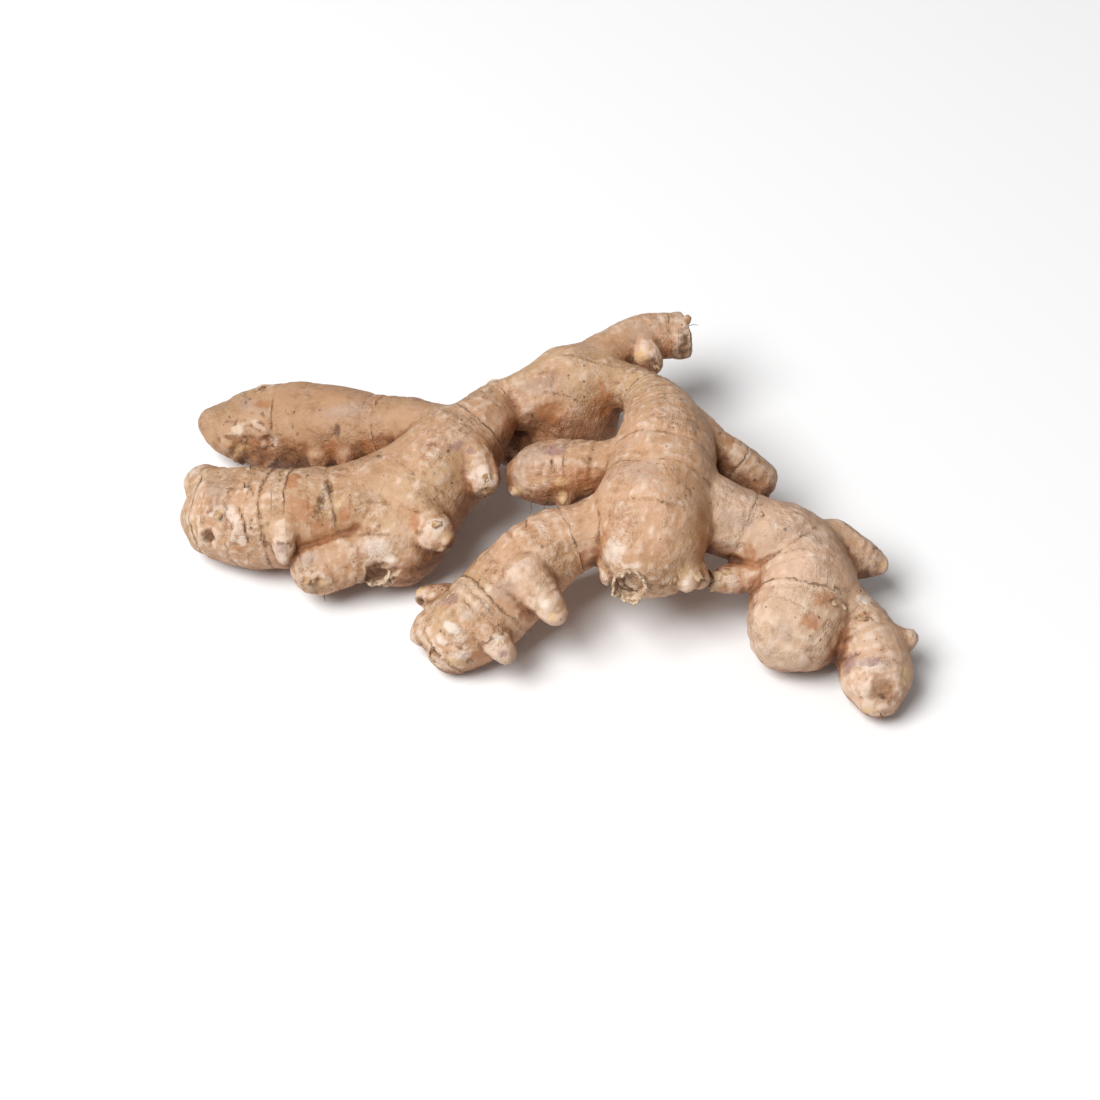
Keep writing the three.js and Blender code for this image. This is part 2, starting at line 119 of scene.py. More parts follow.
# Each finger: its name, the finger it grows from, its rings as lengths along it, and its middle
# line as x, y, height and radius, in mm.
FINGERS = [
    ("shoulder", None, [], [
        (13.5, 55, 28, 8.6), (6.5, 55, 27, 10.6), (-0.5, 52, 27, 9.4), (-7, 49, 27, 7.4)]),
    ("stump", "shoulder", [25, 29.5], [
        (13.5, 60, 28, 9), (18.5, 66, 29, 7.5), (26, 71, 30, 6.3), (32.5, 72, 30, 6.3),
        (41, 72.5, 30, 6.6)]),
    ("lobe", "shoulder", [4, 12.5, 18.5, 26, 32], [
        (15, 62, 28, 7.5), (8.5, 55.5, 26, 10.8), (6, 53, 21, 13.7), (4, 51.5, 13.4, 14.1)]),
    ("left_branch", "shoulder", [12, 26, 47, 56, 63], [
        (-3, 50.5, 27, 7.4), (-14, 48, 27, 6.2), (-19.5, 40, 26.5, 8.4),
        (-26.5, 31.5, 25, 11.8), (-34, 21, 22, 12.8), (-41, 12, 17, 12.8),
        (-43.5, 10, 12.6, 12.6)]),
    ("toe", "left_branch", [11, 18, 23.5], [
        (-43.5, 7.5, 16, 7.8), (-55, 3, 14, 7.9), (-64.5, 0, 12, 7.2)]),
    ("left_middle", "left_branch", [25, 37, 43.5, 50, 58], [
        (-36.5, 24.5, 22, 11), (-53, 17, 20, 11), (-68, 15.5, 17, 12.3),
        (-81.5, 16, 14.5, 13.4), (-90.5, 18, 12.5, 12)]),
    ("left_middle_heel", "left_middle", [8], [(-89, 21.5, 16, 8.4), (-97.5, 28, 15, 6.2)]),
    ("left_upper", "left_branch", [20, 24, 28, 46, 54, 62], [
        (-26.5, 36, 25, 8.8), (-41, 43, 22, 8.6), (-56.5, 47, 18, 10.8),
        (-72, 51.5, 13.6, 12.2), (-83, 52.5, 12.4, 10.8), (-90, 52.5, 12, 8.2),
        (-97, 54.5, 12, 4.2)]),
    ("trunk", "shoulder", [19, 33, 47, 55.5, 66, 74], [
        (13.5, 56.5, 28, 7.4), (25, 49.5, 31, 5.9), (30, 38, 33, 8.9), (31.5, 24, 34, 12.7),
        (29.5, 10.5, 33, 14.4), (27.5, 0.5, 30, 15.4), (26.5, -4.5, 27, 13.5)]),
    ("left_finger", "trunk", [12, 20, 28, 33], [
        (25, 19.5, 31, 9.9), (15.5, 20.5, 30, 7.4), (6, 22, 28, 8.3), (-2, 22, 27, 8),
        (-5, 22, 26, 6.7)]),
    ("right_nub", "trunk", [11, 16, 21, 25], [
        (39, 31.5, 32, 7.5), (46.5, 28, 30, 5.8), (53.5, 24.5, 26, 6.1), (57.5, 23, 23, 5.6)]),
    ("left_arm", "trunk", [16.5, 30, 44, 49, 58, 64], [
        (21.5, 2, 30, 10.3), (10.5, 0, 27, 8.4), (-0.5, -3.5, 24, 9.7),
        (-11, -11.5, 18.5, 10.8), (-19.5, -18.5, 13.5, 10.8), (-24.6, -21.3, 9.3, 9.6)]),
    ("right_arm", "trunk", [20.5, 38.5, 50, 60, 66], [
        (33, 9.5, 30, 10.4), (44, 6, 28, 9.8), (55, 3, 25, 9.4), (65, -1, 21, 11.5),
        (69, -9, 17.5, 13.4), (68, -17, 14.5, 13.7), (66.5, -20.5, 13.5, 13)]),
    ("end_finger", "right_arm", [11, 18.5, 24.5, 31, 36], [
        (73.5, -13, 16, 9), (82, -19, 14, 7.5), (86.5, -26.5, 11, 9.2),
        (88, -34.5, 9, 9.3), (88, -38.5, 8, 7.2)]),
    ("branch_nub_high", "left_branch", [6, 11.5], [
        (-24.5, 30.5, 28.6, 6.6), (-20.4, 22.8, 29.3, 5.8), (-18.7, 18.6, 28, 5.2)]),
    ("branch_nub_low", "left_branch", [5, 9], [
        (-36, 8.5, 25, 6.4), (-32, 3, 25, 5.2), (-29.5, 1, 24, 3.8)]),
    ("mid_bud", "left_middle", [4], [
        (-73, 6, 22.5, 4.1), (-73, 1.5, 19.5, 3), (-73, 0, 17, 2.2)]),
    ("mid_knob", "left_middle", [4], [(-96.5, 19, 14, 3.9), (-101, 17.5, 13, 2.5)]),
    ("upper_bud_a", "left_upper", [3], [
        (-65.5, 42, 17.5, 4.2), (-65.5, 38, 16.5, 3.6), (-65.5, 36.4, 16, 2.9)]),
    ("upper_bud_b", "left_upper", [3], [
        (-57.5, 39.5, 19.5, 4.2), (-57.5, 36.2, 18.5, 3.6), (-57.5, 34.6, 18, 2.9)]),
    ("upper_chip", "left_upper", [], [(-79, 55.5, 19, 4.6), (-82.5, 58.5, 21, 2.6)]),
    ("finger_bud", "left_finger", [], [
        (4.3, 17.8, 27.5, 3.8), (4.3, 14.2, 26, 2.9), (4.3, 12.2, 25.2, 1.9)]),
    ("finger_tip_bud", "left_finger", [], [(-7, 19.5, 26, 3), (-9.5, 17.5, 25, 2.2)]),
    ("trunk_bud", "trunk", [3], [
        (34, -10, 27.5, 5.6), (36, -13.5, 27, 4.2), (36.8, -15.5, 25.6, 2.8)]),
    ("trunk_scale", "trunk", [], [(38, -10.5, 26, 3.8), (40.5, -13.5, 24, 2.5)]),
    ("trunk_spike", "trunk", [], [(15.5, -10.5, 26, 3.2), (15, -14.5, 24, 2)]),
    ("arm_nub", "left_arm", [7.5, 12], [
        (-6.5, -15.5, 26.5, 6.2), (-1, -21, 24, 4.8), (1.5, -24, 22, 3.5)]),
    ("arm_nub_low", "left_arm", [4], [
        (-17, -25.5, 17.5, 4.5), (-13.5, -29.5, 15.5, 4), (-12, -31, 14, 3.4)]),
    ("arm_bud_back", "left_arm", [], [
        (-28, -10.5, 11, 4.8), (-32, -8.7, 10, 3.8), (-34, -8.2, 10, 3)]),
    ("arm_bulge", "left_arm", [], [(-30.6, -18.5, 10, 6), (-34.8, -20.2, 8.5, 3.2)]),
    ("right_spur", "right_arm", [4], [
        (56, -9, 20, 4.6), (49.5, -9.5, 19, 4.4), (45, -10, 18, 2.3)]),
    ("right_prong", "right_arm", [10], [
        (76.5, 2.5, 18, 7.5), (84.5, 0.5, 16, 5.7), (90.5, -1, 15, 2.7)]),
    ("end_nub", "end_finger", [], [(90.5, -25, 13.5, 4.2), (96, -25.6, 12.8, 3.2)]),
    ("stump_nub", "stump", [3], [
        (26.5, 66.8, 30.5, 5), (26.9, 64, 31.2, 4.8), (28.2, 62, 29.6, 4.4)]),
    ("lobe_knob", "lobe", [5], [
        (-5.5, 47.5, 15.5, 6.3), (-9.5, 44.5, 13, 4.3), (-11.5, 43, 10.5, 2.9)]),
    ("branch_bud_back", "left_branch", [3], [
        (-15, 55, 22, 4.4), (-15.5, 59.5, 20, 3.4), (-15.5, 62, 19, 2.4)]),
    ("trunk_bud_under", "trunk", [4], [
        (29, 20, 23, 6), (28, 19, 17, 4.6), (27.5, 18.5, 14, 3)]),
    ("right_bud_back", "right_arm", [3], [
        (58, 10, 21, 4.6), (60, 14.5, 19, 3.5), (61, 17, 18, 2.4)]),
    ("middle_bud_under", "left_middle", [], [(-58, 20, 11, 4.4), (-57, 21, 7, 3)]),
]
BREAK_POINT = np.array([39.5, 72.5, 30])
BREAK_NORMAL = np.array([0.96, 0.22, 0.08]) / np.linalg.norm([0.96, 0.22, 0.08])


def smooth_line(points):
    """The smooth curve through the points, sampled, with the length so far."""
    line = np.array(points, float)
    padded = np.vstack([2 * line[0] - line[1], line, 2 * line[-1] - line[-2]])
    steps = np.arange(SAMPLES_PER_SPAN)[:, None] / SAMPLES_PER_SPAN
    spans = []
    for before, a, b, after in zip(padded, padded[1:], padded[2:], padded[3:]):
        leave, arrive = (b - before) / 2, (after - a) / 2
        spans.append(a + leave * steps + (3 * (b - a) - 2 * leave - arrive) * steps**2
                     + (2 * (a - b) + leave + arrive) * steps**3)
    samples = np.vstack([*spans, line[-1:]])
    at, radius = samples[:, :3], samples[:, 3]
    length = np.concatenate([[0], np.cumsum(np.linalg.norm(np.diff(at, axis=0), axis=1))])
    return at, radius, length


class Finger:
    """One finger: its sampled middle line, and a frame carried along it without twist."""

    def __init__(self, name, parent, rings, line):
        self.name, self.rings = name, rings
        self.parent = next((i for i, row in enumerate(FINGERS) if row[0] == parent), None)
        self.at, self.radius, self.length = smooth_line(line)
        self.centre = (self.at[0] + self.at[-1]) / 2
        self.web = min(JOIN_SOFTNESS, JOIN_SHARE * self.radius.max())
        self.reach = (np.linalg.norm(self.at - self.centre, axis=1) + self.radius).max()
        self.heading = np.diff(self.at, axis=0)
        self.heading /= np.linalg.norm(self.heading, axis=1)[:, None]
        side = np.cross(self.heading[0], (0, 0, 1))
        self.side = []
        for ahead in self.heading:
            side = side - side.dot(ahead) * ahead
            side = side / np.linalg.norm(side)
            self.side.append(side)
        self.side = np.array(self.side)
        self.lift = np.cross(self.heading, self.side)

    def beside(self, points):
        """Distance from the plain finger, radius, length along it, and where round it."""
        every, lengths, radii = [], [], []
        past_tip = (points - self.at[-1]) @ self.heading[-1]
        for i in range(len(self.heading)):
            a, run = self.at[i], self.at[i + 1] - self.at[i]
            off = points - a
            t = np.clip(off @ run / run.dot(run), 0, 1)
            radius = self.radius[i] + (self.radius[i + 1] - self.radius[i]) * t
            length = self.length[i] + (self.length[i + 1] - self.length[i]) * t
            if i == len(self.heading) - 1:
                length = np.where(t == 1, length + past_tip, length)
            every.append(np.linalg.norm(off - t[:, None] * run, axis=1) - radius)
            lengths.append(length)
            radii.append(radius)
        every, lengths, radii = np.array(every), np.array(lengths), np.array(radii)
        nearest = every.argmin(axis=0)
        rows = np.arange(len(points))
        distance = every[nearest, rows]
        weight = np.exp((distance - every) / SPAN_BLEND)
        length = (weight * lengths).sum(axis=0) / weight.sum(axis=0)
        across = points - self.at[nearest]
        side = (across * (weight.T @ self.side / weight.sum(axis=0)[:, None])).sum(axis=1)
        lift = (across * (weight.T @ self.lift / weight.sum(axis=0)[:, None])).sum(axis=1)
        return distance, radii[nearest, rows], length, side, lift


fingers = [Finger(*row) for row in FINGERS]


def soft_union(a, b, softness):
    """Two surfaces joined with a smooth web of the given softness."""
    overlap = np.maximum(softness - np.abs(a - b), 0) / softness
    return np.minimum(a, b) - overlap * overlap * softness * 0.25


def ring_stray(points):
    """How far the rings stray along the finger here."""
    x, y, z = points.T
    return RING_WOBBLE * np.sin(x / 7 + z / 9) * np.sin(y / 8 - z / 6)


def hump(gap, width):
    """A round hump's height, from 1 at its middle, at a distance from it."""
    return np.exp(-((gap / width) ** 2))


def ring_relief(rings, length):
    """How far the skin stands in or out of the plain finger at a length along it."""
    relief = np.zeros(len(length))
    for ring in rings:
        relief -= RING_DEPTH * hump(length - ring, RING_WIDTH)
    for before, after in zip(rings, rings[1:]):
        between = np.clip((length - before) / (after - before), 0, 1)
        relief += RING_SWELL * np.sin(math.pi * between)
    return relief


def finger_distance(finger, points):
    """Signed distance from each point to one finger's skin."""
    skin = np.linalg.norm(points - finger.centre, axis=1) - finger.reach
    near = skin <= FAR
    close = points[near]
    if len(close):
        distance, radius, length, _, _ = finger.beside(close)
        relief = ring_relief(finger.rings, length + ring_stray(close))
        found = distance - relief * np.minimum(1, radius / FULL_RELIEF_RADIUS)
        if finger.name == "stump":
            beyond = (close - BREAK_POINT) @ BREAK_NORMAL
            found = -soft_union(-found, -beyond, BREAK_SOFTNESS)
        skin[near] = found
    return skin


def lumps(points):
    """Unevenness of the whole root."""
    x, y, z = points.T
    wide = np.sin(x / 6.1 + 1.3 * np.sin(y / 8.3)) * np.sin(y / 6.7 + 1.1 * np.sin(z / 7.9))
    fine = np.sin(x / 2.9 + 2 + np.sin(z / 3.7)) * np.sin(y / 3.1 + z / 2.7)
    return WIDE_LUMP * wide + FINE_LUMP * fine


def root_distance(points):
    """Signed distance from each point to the root's skin, and to each finger's own."""
    single = np.array([finger_distance(finger, points) for finger in fingers])
    whole = single[0]
    for finger, distance in zip(fingers[1:], single[1:]):
        joined = soft_union(distance, single[finger.parent], finger.web)
        whole = soft_union(whole, joined, CREASE_SOFTNESS)
    return whole - lumps(points), single


# A fine even mesh over the solid.
bpy.ops.object.select_all(action="DESELECT")
bpy.context.view_layer.objects.active = cad_skin
cad_skin.select_set(True)
bpy.ops.object.duplicate()
ginger = bpy.context.object
ginger.name = "ginger_skin"
ginger.parent = None
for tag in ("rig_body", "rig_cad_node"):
    if tag in ginger:
        del ginger[tag]
bpy.ops.object.mode_set(mode="EDIT")
bpy.ops.mesh.select_all(action="SELECT")
bpy.ops.mesh.remove_doubles(threshold=1e-6)
bpy.ops.object.mode_set(mode="OBJECT")
even = ginger.modifiers.new("even", "REMESH")
even.mode = "VOXEL"
even.voxel_size = FACET
bpy.ops.object.modifier_apply(modifier=even.name)
bpy.ops.object.shade_smooth()
skin = ginger.data


def places():
    """The skin's corners in mm, in the frame that the fingers are given in."""
    flat = np.empty(len(skin.vertices) * 3, np.float32)
    skin.vertices.foreach_get("co", flat)
    return flat.reshape(-1, 3).astype(float) * MM_PER_METRE - TABLE_TO_PART


def facing():
    """The skin's outward direction at each corner."""
    flat = np.empty(len(skin.vertices) * 3, np.float32)
    skin.vertex_normals.foreach_get("vector", flat)
    return flat.reshape(-1, 3).astype(float)


def put_back(points):
    """Moves the corners there, and presses the feet flat on the table."""
    points = points + TABLE_TO_PART
    points[:, 2] = np.maximum(points[:, 2], 0)
    skin.vertices.foreach_set("co", (points / MM_PER_METRE).astype(np.float32).ravel())
    skin.update()


edges = np.empty(len(skin.edges) * 2, np.int32)
skin.edges.foreach_get("vertices", edges)
edges = edges.reshape(-1, 2)
count = np.bincount(edges.ravel(), minlength=len(skin.vertices))[:, None]


def averaged(values, rounds=1):
    """Each corner's value as the mean of its neighbours' values, taken so many times."""
    for _ in range(rounds):
        total = np.zeros_like(values)
        for axis in range(values.shape[1]):
            total[:, axis] = (np.bincount(edges[:, 0], values[edges[:, 1], axis], len(values))
                              + np.bincount(edges[:, 1], values[edges[:, 0], axis], len(values)))
        values = total / count
    return values


SETTLE_ROUNDS, EVENING, LARGEST_MOVE = 3, 0.5, 1
for _ in range(SETTLE_ROUNDS):
    points = places()
    points += EVENING * (averaged(points) - points)
    distance = root_distance(points)[0]
    put_back(points - np.clip(distance, -LARGEST_MOVE, LARGEST_MOVE)[:, None] * facing())

# Where each corner lies on its finger: along it, round it, how near a ring, and how clear of
# the other fingers.
NONE_NEAR = 9.0  # where no ring or line is near
CREASE_REACH = 2.5
PATTERN_SHIFT = 37.0  # from each finger's pattern to the next one's
points = places()
single = root_distance(points)[1]
order = np.argsort(single, axis=0)[:2]
rows = np.arange(len(points))
owner = order[0]
clear = single[order[1], rows] - single[order[0], rows]
along, side, lift, ring_gap, ring_show, to_tip, girth = np.zeros((7, len(points)))
ring_gap[:] = NONE_NEAR
worn = np.random.default_rng(7)  # some rings have worn away, others are still plain
for i, finger in enumerate(fingers):
    mine = owner == i
    if not mine.any():
        continue
    _, radius, length, across, up = finger.beside(points[mine])
    along[mine], side[mine], lift[mine], girth[mine] = length, across, up, radius
    to_tip[mine] = finger.length[-1] + finger.radius[-1] - length
    strayed = length + ring_stray(points[mine])
    if finger.rings:
        gaps = strayed[:, None] - np.array(finger.rings)
        nearest = np.abs(gaps).argmin(axis=1)
        ring_gap[mine] = gaps[np.arange(len(gaps)), nearest]
        ring_show[mine] = worn.uniform(0, 1, len(finger.rings))[nearest]
        if finger.name == "branch_nub_high":
            ring_show[mine] = 0  # its lumpy tip has lost its rings
fade = np.clip(clear / CREASE_REACH, 0, 1)
along += owner * PATTERN_SHIFT

# Scars of old stems, as they show in the photograph: pixel, radius, depth and rim in mm.
SCARS = [
    (208, 535, 2.2, 1.3, 0.4),  # left middle finger: a dark pit in pale ripples
    (222, 528, 5.4, 0.1, 0.5),
    (250, 449, 7.0, 0.2, 0.6),  # left upper finger: a wide flat one
    (244, 449, 4.0, 0.1, 0.2),
    (376, 570, 4.8, 1.3, 0.7),  # left branch
    (631, 583, 3.9, 4.2, 0.6),  # trunk: an open cup
    (437, 653, 1.8, 2.6, 0.6),  # left arm: a small hole
    (420, 604, 1.8, 1.4, 0.3),
    (508, 458, 1.7, 1.0, 0.3),
    (882, 693, 4.2, 0.9, 0.1),
    (318, 586, 4.0, 0.3, 0.5),
]
# Small knobs where roots and buds never grew out: pixel, radius and height in mm.
KNOBS = [
    (450, 627, 1.7, 0.8), (461, 639, 1.9, 0.6), (440, 638, 1.2, 0.6), (456, 656, 2.0, 0.7),
    (469, 650, 1.4, 0.4), (430, 630, 1.5, 0.4), (421, 634, 1.6, 0.5), (234, 466, 0.9, 1.0),
    (250, 470, 0.8, 1.0), (373, 452, 1.4, 0.6), (240, 449, 1.6, 0.5), (233, 444, 1.2, 0.5),
    (251, 457, 1.3, 0.6), (310, 587, 1.8, 0.5), (326, 582, 1.5, 0.6), (301, 578, 1.6, 0.4),
    (432, 526, 1.4, 0.5), (446, 541, 1.3, 0.6), (478, 487, 1.5, 0.5), (487, 492, 1.2, 0.6),
    (550, 605, 1.5, 0.4), (897, 676, 2.2, 0.5), (880, 670, 2.0, 0.4), (866, 690, 1.8, 0.4),
    (852, 641, 2.0, 0.4), (720, 589, 1.1, 0.5), (732, 582, 1.4, 0.5), (668, 580, 1.6, 0.5),
    (471, 478, 1.6, 0.6), (484, 471, 1.5, 0.5), (494, 482, 1.7, 0.6), (475, 493, 1.4, 0.6),
    (229, 452, 1.5, 0.7), (238, 456, 1.3, 0.7), (247, 450, 1.4, 0.6), (256, 461, 1.2, 0.5),
    (422, 592, 1.6, 0.6), (433, 597, 1.5, 0.6), (415, 599, 1.2, 0.5), (192, 518, 1.7, 0.5),
    (364, 561, 1.5, 0.6), (391, 563, 1.7, 0.6), (385, 583, 1.5, 0.5), (362, 582, 1.4, 0.5),
]
# Patches of other tones: pixel, half width and half height in pixels, turn in degrees.
PATCHES = {
    "chalk": [  # dry pale scuffs
        (231, 509, 5, 8, 30), (236, 524, 6, 13, 14), (242, 541, 4, 7, 5), (216, 514, 9, 4, 10),
        (258, 425, 14, 4, -35), (274, 440, 5, 10, 20), (240, 432, 8, 6, 0), (374, 547, 20, 11, -8),
        (388, 558, 9, 6, 0), (614, 552, 13, 14, -20), (631, 566, 12, 4, 0), (452, 628, 12, 7, -20),
        (440, 640, 8, 6, 0), (462, 655, 9, 6, 0), (437, 524, 10, 8, 20), (543, 602, 7, 7, 30),
        (686, 584, 5, 5, 0), (498, 638, 7, 7, 0), (862, 600, 10, 6, 0), (562, 498, 2, 3, 0),
        (714, 583, 5, 5, 0), (480, 475, 13, 11, 0), (660, 318, 3, 12, 15), (870, 664, 14, 6, 0),
        (283, 558, 4, 4, 0), (492, 484, 6, 5, 0), (240, 428, 12, 5, 10),
    ],
    "ash": [  # thin greyish skin
        (783, 632, 13, 14, 10), (735, 520, 22, 12, -20), (812, 535, 20, 9, -10),
        (307, 560, 14, 8, 30), (640, 470, 22, 14, 0), (215, 490, 14, 12, 0),
        (540, 385, 26, 12, 15), (640, 330, 16, 12, 0), (250, 405, 22, 8, -15),
        (345, 410, 30, 10, 10), (505, 590, 16, 12, 40), (470, 612, 14, 8, 30),
        (532, 456, 22, 12, 10), (520, 474, 10, 14, 0), (222, 512, 18, 14, 20),
    ],
    "lilac": [  # young purplish buds
        (282, 548, 7, 7, 0), (503, 654, 6, 4, 0), (450, 600, 12, 5, 25), (457, 446, 9, 5, 25),
        (470, 451, 7, 5, 0), (337, 432, 4, 5, 0), (870, 662, 14, 5, 0), (849, 664, 6, 14, -30),
        (556, 450, 14, 7, 0),
    ],
    "rust": [  # orange-brown stains
        (375, 448, 16, 10, -15), (332, 448, 7, 14, 0), (300, 508, 22, 16, -30),
        (345, 515, 6, 14, -25), (322, 532, 14, 14, -40), (292, 482, 12, 9, 0), (241, 549, 7, 5, 0),
        (262, 404, 12, 5, 0), (250, 446, 14, 6, 20), (578, 480, 30, 16, 0), (560, 484, 12, 8, 0),
        (862, 617, 9, 6, 30), (884, 690, 15, 10, -35), (475, 478, 10, 10, 20),
        (700, 530, 7, 30, 0), (700, 575, 6, 8, 0), (604, 540, 5, 20, -8), (730, 440, 6, 12, 0),
        (716, 590, 12, 6, 10), (824, 600, 16, 10, 15), (812, 622, 14, 10, 0), (749, 640, 6, 6, 0),
        (750, 555, 7, 18, 20), (582, 560, 6, 16, -20), (478, 655, 12, 7, 0), (552, 412, 20, 12, 0),
        (604, 400, 10, 24, 5), (510, 425, 12, 14, 0), (415, 520, 6, 14, 0), (668, 345, 8, 12, 0),
    ],
    "butter": [  # bare yellow flesh
        (552, 618, 6, 5, 0), (562, 497, 6, 7, 0), (561, 482, 9, 5, 0), (447, 538, 5, 6, 20),
        (488, 489, 7, 6, 0), (240, 450, 13, 6, 25), (322, 584, 8, 6, 0), (454, 661, 12, 6, -10),
        (885, 566, 7, 6, 0), (906, 675, 8, 12, 0), (868, 710, 8, 4, 0), (342, 500, 3, 9, -30),
        (420, 590, 9, 5, 0), (490, 490, 8, 5, 0), (640, 356, 8, 8, 0), (517, 490, 5, 5, 0),
    ],
    "bark": [  # dark corky spots
        (246, 459, 10, 4, 25), (209, 537, 5, 6, 0), (378, 574, 12, 9, 0), (437, 653, 4, 5, 0),
        (418, 604, 5, 4, 0), (363, 577, 4, 7, 0), (379, 457, 6, 3, 0), (320, 505, 5, 14, -15),
        (328, 488, 5, 9, 10), (262, 388, 9, 4, 30), (508, 460, 4, 4, 0), (573, 542, 2, 9, 10),
        (882, 697, 6, 3, -30), (655, 361, 6, 4, 0), (684, 345, 6, 20, 0), (866, 619, 4, 3, 30),
        (832, 600, 7, 2, 20), (487, 499, 7, 2, 0), (447, 548, 7, 3, 0), (337, 430, 4, 9, 0),
        (748, 640, 3, 3, 0), (470, 662, 4, 3, 0),
    ],
}
# Thin lines in the skin, each drawn through pixels: dark cracks, and the fainter old folds.
CRACKS = [
    [(204, 473), (200, 482), (196, 490), (192, 500)],
    [(239, 508), (243, 520), (245, 532), (249, 545)],
    [(280, 475), (290, 474), (300, 476)],
    [(572, 528), (573, 538), (575, 550)],
    [(528, 513), (526, 520), (525, 526)],
    [(645, 338), (655, 352), (666, 370)],
    [(563, 512), (568, 522), (570, 530)],
    [(723, 430), (733, 434), (741, 441)],
    [(531, 415), (536, 421), (542, 426)],
    [(551, 459), (553, 466), (554, 472)],
    [(865, 612), (872, 618), (878, 628)],
    [(645, 465), (655, 463), (665, 465)], [(690, 470), (699, 472)],
]
FOLDS = [
    [(240, 478), (253, 492), (260, 510), (263, 528), (265, 545)],
    [(285, 410), (292, 420), (298, 435)],
    [(225, 432), (238, 422), (255, 420), (268, 430), (276, 445), (279, 458)],
    [(222, 425), (240, 412), (262, 414), (275, 426), (284, 445), (286, 460)],
    [(198, 512), (214, 512), (226, 520), (228, 535)],
    [(345, 536), (365, 535), (390, 535)],
    [(361, 503), (380, 502), (400, 506), (419, 512)],
    [(545, 392), (570, 397), (597, 415)],
    [(605, 502), (630, 498), (655, 499), (681, 508)],
    [(650, 428), (675, 436), (695, 445), (712, 458)],
    [(645, 464), (670, 464), (700, 472)],
    [(755, 565), (765, 558), (775, 555), (800, 548), (828, 551), (845, 563)],
    [(756, 591), (785, 585), (812, 587), (835, 595), (850, 606)],
    [(738, 522), (750, 511), (763, 503)],
    [(835, 660), (852, 656), (870, 655), (890, 659), (905, 665)],
    [(478, 575), (495, 585), (513, 600)],
    [(460, 598), (480, 612), (503, 635)],
    [(663, 315), (670, 328), (672, 345)],
    [(560, 354), (580, 356), (600, 364), (630, 368)],
    [(560, 455), (563, 470)], [(596, 500), (600, 520), (598, 545)],
    [(515, 440), (540, 446), (570, 444), (605, 437)],
]
PIXELS_PER_MM = 3.65
PATCH_DEPTH, PATCH_EDGE = 7, 1.5  # how deep it reaches along the line of sight, and its soft edge
LINE_STEP = 3  # pixels
points = places()
points_part = points + TABLE_TO_PART
tone_amount = {}
view_axes = np.array([image_right, image_up, toward_eye])
for tone, patches in PATCHES.items():
    tone_amount[tone] = np.zeros(len(points))
    for u, v, half_width, half_height, turn in patches:
        off = (points_part - on_skin(u, v)) @ view_axes.T
        cosine, sine = math.cos(math.radians(turn)), math.sin(math.radians(turn))
        wide = (off[:, 0] * cosine + off[:, 1] * sine) * PIXELS_PER_MM / half_width
        high = (off[:, 1] * cosine - off[:, 0] * sine) * PIXELS_PER_MM / half_height
        through = off[:, 2] / PATCH_DEPTH
        share = np.clip(PATCH_EDGE - np.sqrt(wide**2 + high**2 + through**2), 0, 1)
        tone_amount[tone] = np.maximum(tone_amount[tone], share)


def line_gap(lines):
    """Distance from each corner to the nearest of the lines drawn on the skin, in mm."""
    gap = np.full(len(points), NONE_NEAR)
    for line in lines:
        for (u0, v0), (u1, v1) in zip(line, line[1:]):
            steps = max(1, round(math.hypot(u1 - u0, v1 - v0) / LINE_STEP))
            marks = [on_skin(u0 + (u1 - u0) * k / steps, v0 + (v1 - v0) * k / steps)
                     for k in range(steps + 1)]
            for a, b in zip(marks, marks[1:]):
                run = b - a
                off = points_part - a
                t = np.clip(off @ run / max(run.dot(run), 1e-6), 0, 1)
                gap = np.minimum(gap, np.linalg.norm(off - t[:, None] * run, axis=1))
    return gap


crack_gap, fold_gap = line_gap(CRACKS), line_gap(FOLDS)


def fractal(vectors, octaves=3):
    """Blender's own smooth noise at each place."""
    return np.array([noise.fractal(Vector(v), 0.9, 2.0, octaves) for v in vectors])


# Fine relief of the mesh: slow dimples, wrinkles along the fingers and round their tips, the
# stem scars' cups, rims and ripples, and the drawn lines. A scar's rim and ripples are placed in
# its own radii.
DIMPLE_SIZE, DIMPLE = 7, 0.28  # the length of a form, then its height
POCK_SIZE, POCK = 2.2, 0.12
WRINKLE_LENGTH, WRINKLE_WIDTH, WRINKLE = 9, 1.7, 0.12
RING_WRINKLE_LENGTH, RING_WRINKLE_WIDTH = 7, 1.5
RING_WRINKLE, TIP_WRINKLE = 0.08, 0.40
RIM_AT, RIM_WIDTH, RIM_GAIN = 1.15, 0.2, 1.4
RIPPLES_FROM, RIPPLES_TO = 1.1, 2.3
RIPPLE_RATE = 3.4  # radians for each mm outwards
WIDE_SCAR, RIPPLE, FAINT_RIPPLE = 6, 0.3, 0.06  # a wide scar's ripples are faint
DARK_DEPTH = 1.5  # as deep as this, a cup is wholly dark
DITCH_AT, DITCH_WIDTH, DITCH = 1.5, 0.3, 0.2  # round each knob
CRACK_WIDTH, CRACK_DEPTH = 0.45, 0.32
FOLD_WIDTH, FOLD_DEPTH = 0.6, 0.16
BARK_ROUGH, CHALK_ROUGH = 0.35, 0.12
tipness = np.clip(1 - to_tip / (0.9 * girth + 3), 0, 1)
dimples = fractal(points / DIMPLE_SIZE)
pocks = fractal(points / POCK_SIZE, 2)
length_wrinkles = fractal(np.column_stack(
    [along / WRINKLE_LENGTH, side / WRINKLE_WIDTH, lift / WRINKLE_WIDTH]), 2)
ring_wrinkles = fractal(np.column_stack(
    [along / RING_WRINKLE_WIDTH, side / RING_WRINKLE_LENGTH, lift / RING_WRINKLE_LENGTH]), 2)
relief = (DIMPLE * dimples + POCK * pocks + WRINKLE * length_wrinkles * fade * (1 - tipness)
          + TIP_WRINKLE * ring_wrinkles * fade * tipness + RING_WRINKLE * ring_wrinkles * fade)
